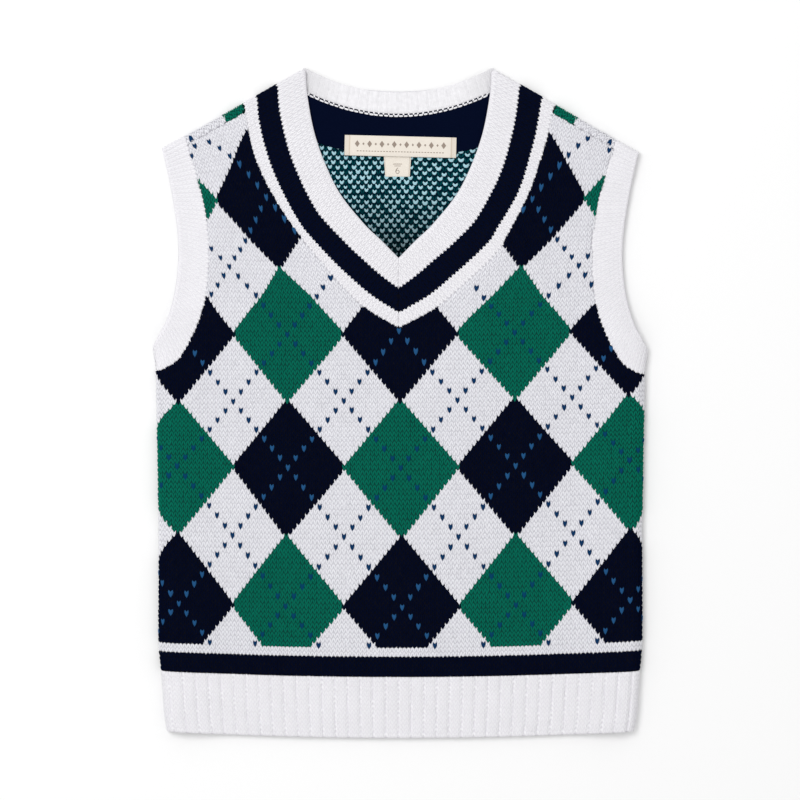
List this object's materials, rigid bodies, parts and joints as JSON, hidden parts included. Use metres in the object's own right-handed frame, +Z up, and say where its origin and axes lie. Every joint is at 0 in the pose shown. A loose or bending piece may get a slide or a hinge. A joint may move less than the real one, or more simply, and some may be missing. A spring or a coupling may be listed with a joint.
{
  "type": "child's knitted argyle V-neck vest",
  "caption": "Sleeveless knitted V-neck vest laid flat, with an argyle body, ribbed hem, ribbed armhole bands and a mitred, striped neckband.",
  "frame": {"origin": "on the table under the middle of the laid vest: the bottom centre of its bounding box", "axes": "+Z up, out of the front of the vest; +Y from the hem towards the neck; +X towards the right of the picture, which is the wearer's left"},
  "size_m": [0.3378, 0.4562, 0.0096],
  "materials": {
    "argyle_knit": "soft matt jersey knit with white, green and navy diamonds and a blue overlaid line",
    "rib_knit": "soft matt white rib knit with a navy stripe at the neck",
    "facing_jersey": "matt navy jersey",
    "woven_label": "cream woven damask with a faint sheen"
  },
  "bodies": {
    "root": {"front_panel": "argyle_knit", "back_panel": "argyle_knit", "hem_rib_front": "rib_knit", "hem_rib_back": "rib_knit", "neckband": "rib_knit", "armhole_band_left": "rib_knit", "armhole_band_right": "rib_knit", "back_neck_facing": "facing_jersey", "neck_label": "woven_label", "size_label": "woven_label"}
  },
  "joints": []
}
